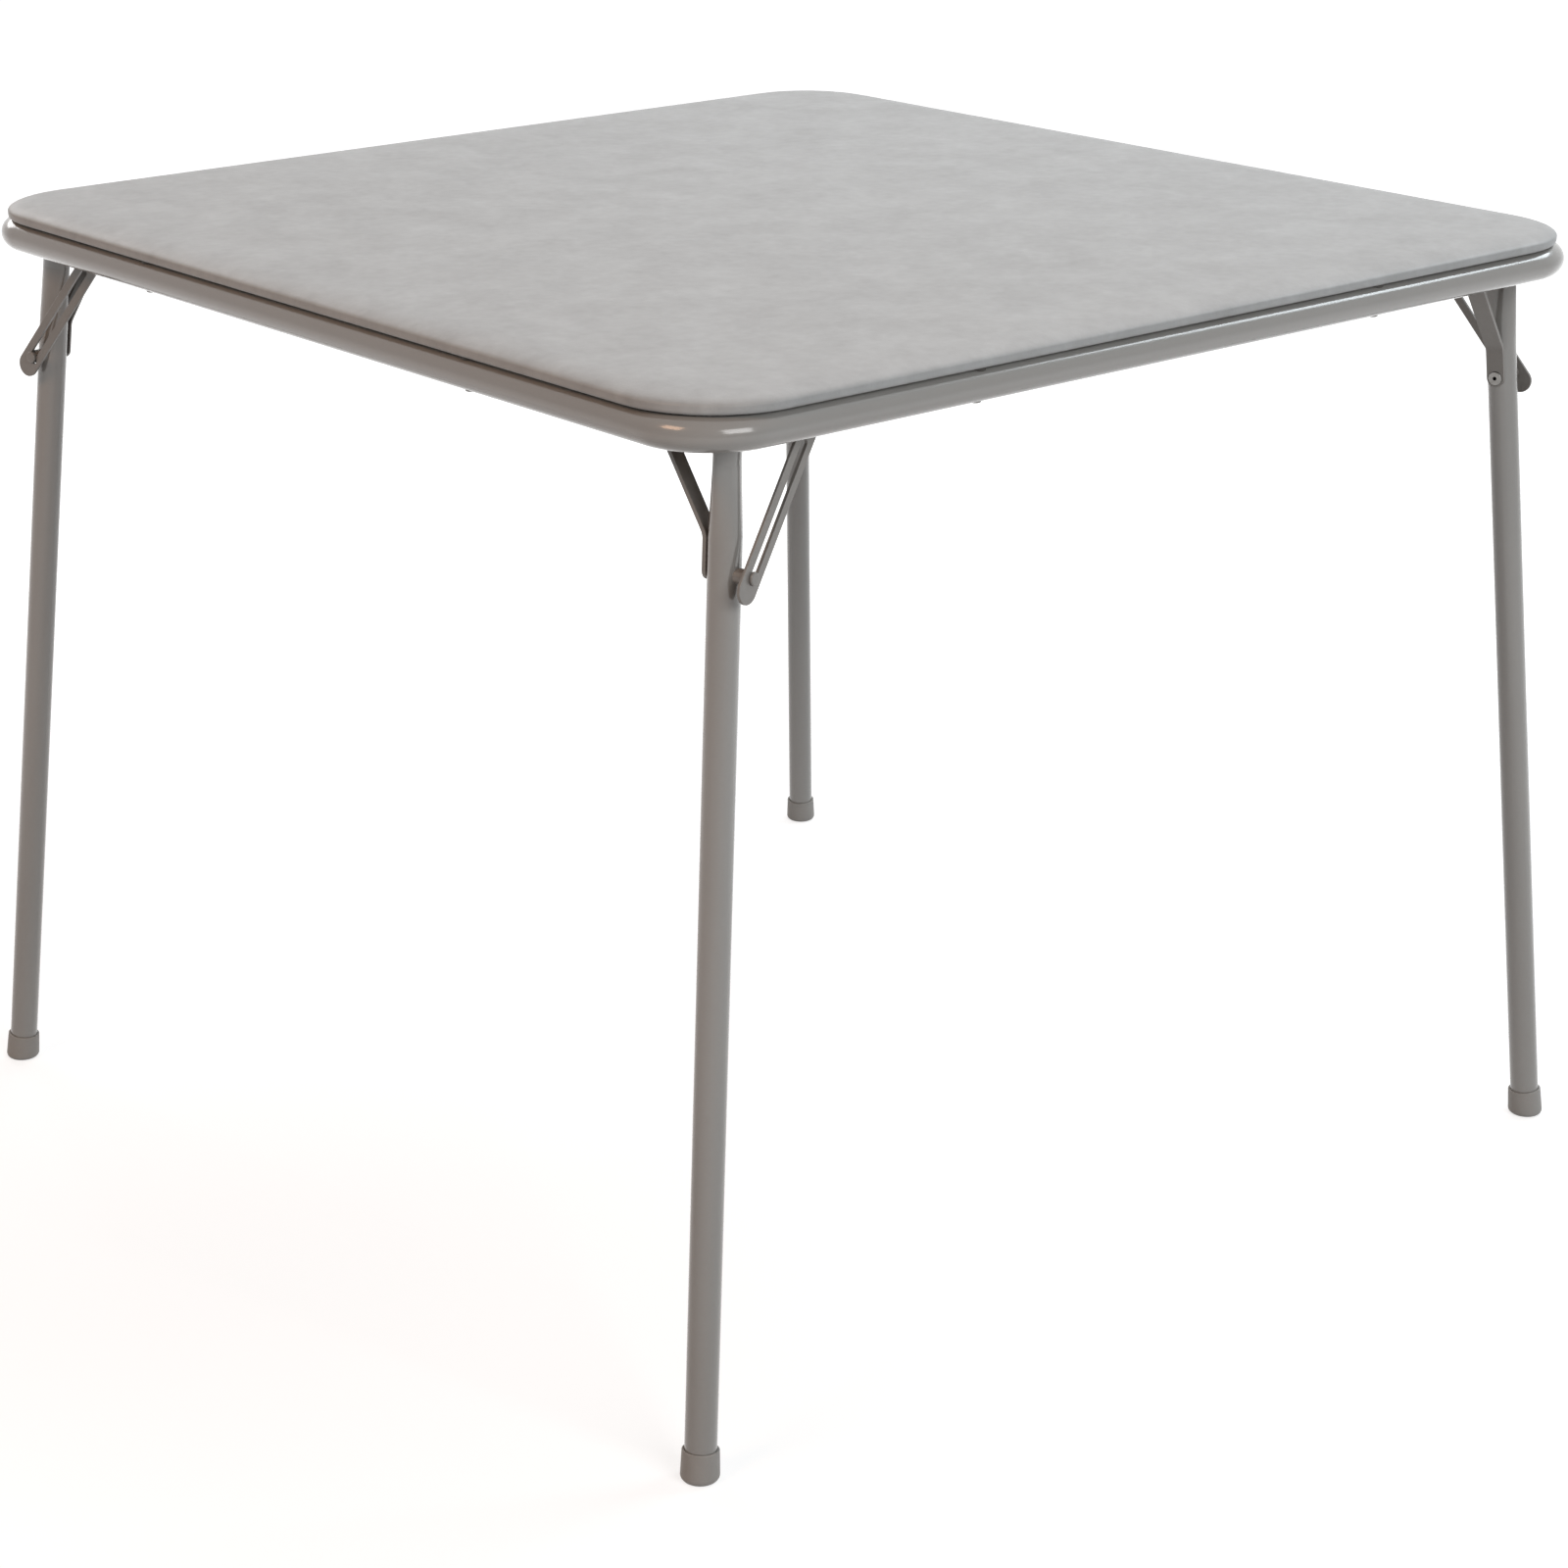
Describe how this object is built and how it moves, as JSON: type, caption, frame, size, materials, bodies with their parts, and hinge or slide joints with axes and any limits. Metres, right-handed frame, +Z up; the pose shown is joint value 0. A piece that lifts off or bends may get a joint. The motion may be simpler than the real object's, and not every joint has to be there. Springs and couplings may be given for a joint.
{
  "type": "folding card table",
  "caption": "Square folding card table: a padded vinyl panel on a round tube ring frame, with splayed tube legs that fold flat under it on slotted lock braces.",
  "frame": {"origin": "on the floor, under the middle of the table as it stands open", "axes": "+Z up, X and Y along the sides of the square top, -Y towards the front; the table is a quarter-turn pattern about Z"},
  "size_m": [0.886, 0.886, 0.705],
  "materials": {
    "vinyl": "satin",
    "hardboard": "matte",
    "foam": "matte",
    "painted_tube": "gloss",
    "plated_steel": "satin",
    "grey_plastic": "satin"
  },
  "bodies": {
    "table_top": {"vinyl_cover": "vinyl", "panel_board": "hardboard", "foam_pad": "foam", "ring_frame": "painted_tube", "panel_screws": "plated_steel", "panel_spacers": "grey_plastic", "corner_bracket_front_left": "painted_tube", "hinge_pin_front_left": "plated_steel", "lock_brace_rivet_front_left": "plated_steel", "corner_bracket_front_right": "painted_tube", "hinge_pin_front_right": "plated_steel", "lock_brace_rivet_front_right": "plated_steel", "corner_bracket_rear_right": "painted_tube", "hinge_pin_rear_right": "plated_steel", "lock_brace_rivet_rear_right": "plated_steel", "corner_bracket_rear_left": "painted_tube", "hinge_pin_rear_left": "plated_steel", "lock_brace_rivet_rear_left": "plated_steel"},
    "leg_front_left": {"leg_tube_front_left": "painted_tube", "foot_cap_front_left": "grey_plastic", "side_brace_front_left": "painted_tube", "side_brace_rivet_front_left": "plated_steel", "hinge_spacer_front_left": "plated_steel", "lock_pin_collar_front_left": "painted_tube"},
    "brace_front_left": {"lock_brace_front_left": "painted_tube"},
    "pin_front_left": {"lock_pin_front_left": "plated_steel"},
    "leg_front_right": {"leg_tube_front_right": "painted_tube", "foot_cap_front_right": "grey_plastic", "side_brace_front_right": "painted_tube", "side_brace_rivet_front_right": "plated_steel", "hinge_spacer_front_right": "plated_steel", "lock_pin_collar_front_right": "painted_tube"},
    "brace_front_right": {"lock_brace_front_right": "painted_tube"},
    "pin_front_right": {"lock_pin_front_right": "plated_steel"},
    "leg_rear_right": {"leg_tube_rear_right": "painted_tube", "foot_cap_rear_right": "grey_plastic", "side_brace_rear_right": "painted_tube", "side_brace_rivet_rear_right": "plated_steel", "hinge_spacer_rear_right": "plated_steel", "lock_pin_collar_rear_right": "painted_tube"},
    "brace_rear_right": {"lock_brace_rear_right": "painted_tube"},
    "pin_rear_right": {"lock_pin_rear_right": "plated_steel"},
    "leg_rear_left": {"leg_tube_rear_left": "painted_tube", "foot_cap_rear_left": "grey_plastic", "side_brace_rear_left": "painted_tube", "side_brace_rivet_rear_left": "plated_steel", "hinge_spacer_rear_left": "plated_steel", "lock_pin_collar_rear_left": "painted_tube"},
    "brace_rear_left": {"lock_brace_rear_left": "painted_tube"},
    "pin_rear_left": {"lock_pin_rear_left": "plated_steel"}
  },
  "joints": [
    {"name": "leg_fold_front_left", "type": "hinge", "parent": "table_top", "child": "leg_front_left", "pos_m": [-0.3687, -0.3865, 0.677], "axis": [0.2366, -0.9707, 0.0429], "range_deg": [0, 95.5]},
    {"name": "brace_turn_front_left", "type": "hinge", "parent": "table_top", "child": "brace_front_left", "pos_m": [-0.30895, -0.37193, 0.677], "axis": [0.2366, -0.9707, 0.0429], "range_deg": [0, 128.89]},
    {"name": "pin_slide_front_left", "type": "slide", "parent": "brace_front_left", "child": "pin_front_left", "axis": [0.602, 0.1811, 0.7777], "range_m": [0, 0.08576]},
    {"name": "leg_fold_front_right", "type": "hinge", "parent": "table_top", "child": "leg_front_right", "pos_m": [0.3865, -0.3687, 0.677], "axis": [0.9707, 0.2366, 0.0429], "range_deg": [0, 95.5]},
    {"name": "brace_turn_front_right", "type": "hinge", "parent": "table_top", "child": "brace_front_right", "pos_m": [0.37193, -0.30895, 0.677], "axis": [0.9707, 0.2366, 0.0429], "range_deg": [0, 128.89]},
    {"name": "pin_slide_front_right", "type": "slide", "parent": "brace_front_right", "child": "pin_front_right", "axis": [-0.1811, 0.602, 0.7777], "range_m": [0, 0.08576]},
    {"name": "leg_fold_rear_right", "type": "hinge", "parent": "table_top", "child": "leg_rear_right", "pos_m": [0.3687, 0.3865, 0.677], "axis": [-0.2366, 0.9707, 0.0429], "range_deg": [0, 95.5]},
    {"name": "brace_turn_rear_right", "type": "hinge", "parent": "table_top", "child": "brace_rear_right", "pos_m": [0.30895, 0.37193, 0.677], "axis": [-0.2366, 0.9707, 0.0429], "range_deg": [0, 128.89]},
    {"name": "pin_slide_rear_right", "type": "slide", "parent": "brace_rear_right", "child": "pin_rear_right", "axis": [-0.602, -0.1811, 0.7777], "range_m": [0, 0.08576]},
    {"name": "leg_fold_rear_left", "type": "hinge", "parent": "table_top", "child": "leg_rear_left", "pos_m": [-0.3865, 0.3687, 0.677], "axis": [-0.9707, -0.2366, 0.0429], "range_deg": [0, 95.5]},
    {"name": "brace_turn_rear_left", "type": "hinge", "parent": "table_top", "child": "brace_rear_left", "pos_m": [-0.37193, 0.30895, 0.677], "axis": [-0.9707, -0.2366, 0.0429], "range_deg": [0, 128.89]},
    {"name": "pin_slide_rear_left", "type": "slide", "parent": "brace_rear_left", "child": "pin_rear_left", "axis": [0.1811, -0.602, 0.7777], "range_m": [0, 0.08576]}
  ],
  "couplings": [
    {"joint": "brace_turn_front_left", "follows": "leg_fold_front_left", "ratio": 1.3496},
    {"joint": "pin_slide_front_left", "follows": "leg_fold_front_left", "m_per_rad": 0.051447},
    {"joint": "brace_turn_front_right", "follows": "leg_fold_front_right", "ratio": 1.3496},
    {"joint": "pin_slide_front_right", "follows": "leg_fold_front_right", "m_per_rad": 0.051447},
    {"joint": "brace_turn_rear_right", "follows": "leg_fold_rear_right", "ratio": 1.3496},
    {"joint": "pin_slide_rear_right", "follows": "leg_fold_rear_right", "m_per_rad": 0.051447},
    {"joint": "brace_turn_rear_left", "follows": "leg_fold_rear_left", "ratio": 1.3496},
    {"joint": "pin_slide_rear_left", "follows": "leg_fold_rear_left", "m_per_rad": 0.051447}
  ]
}
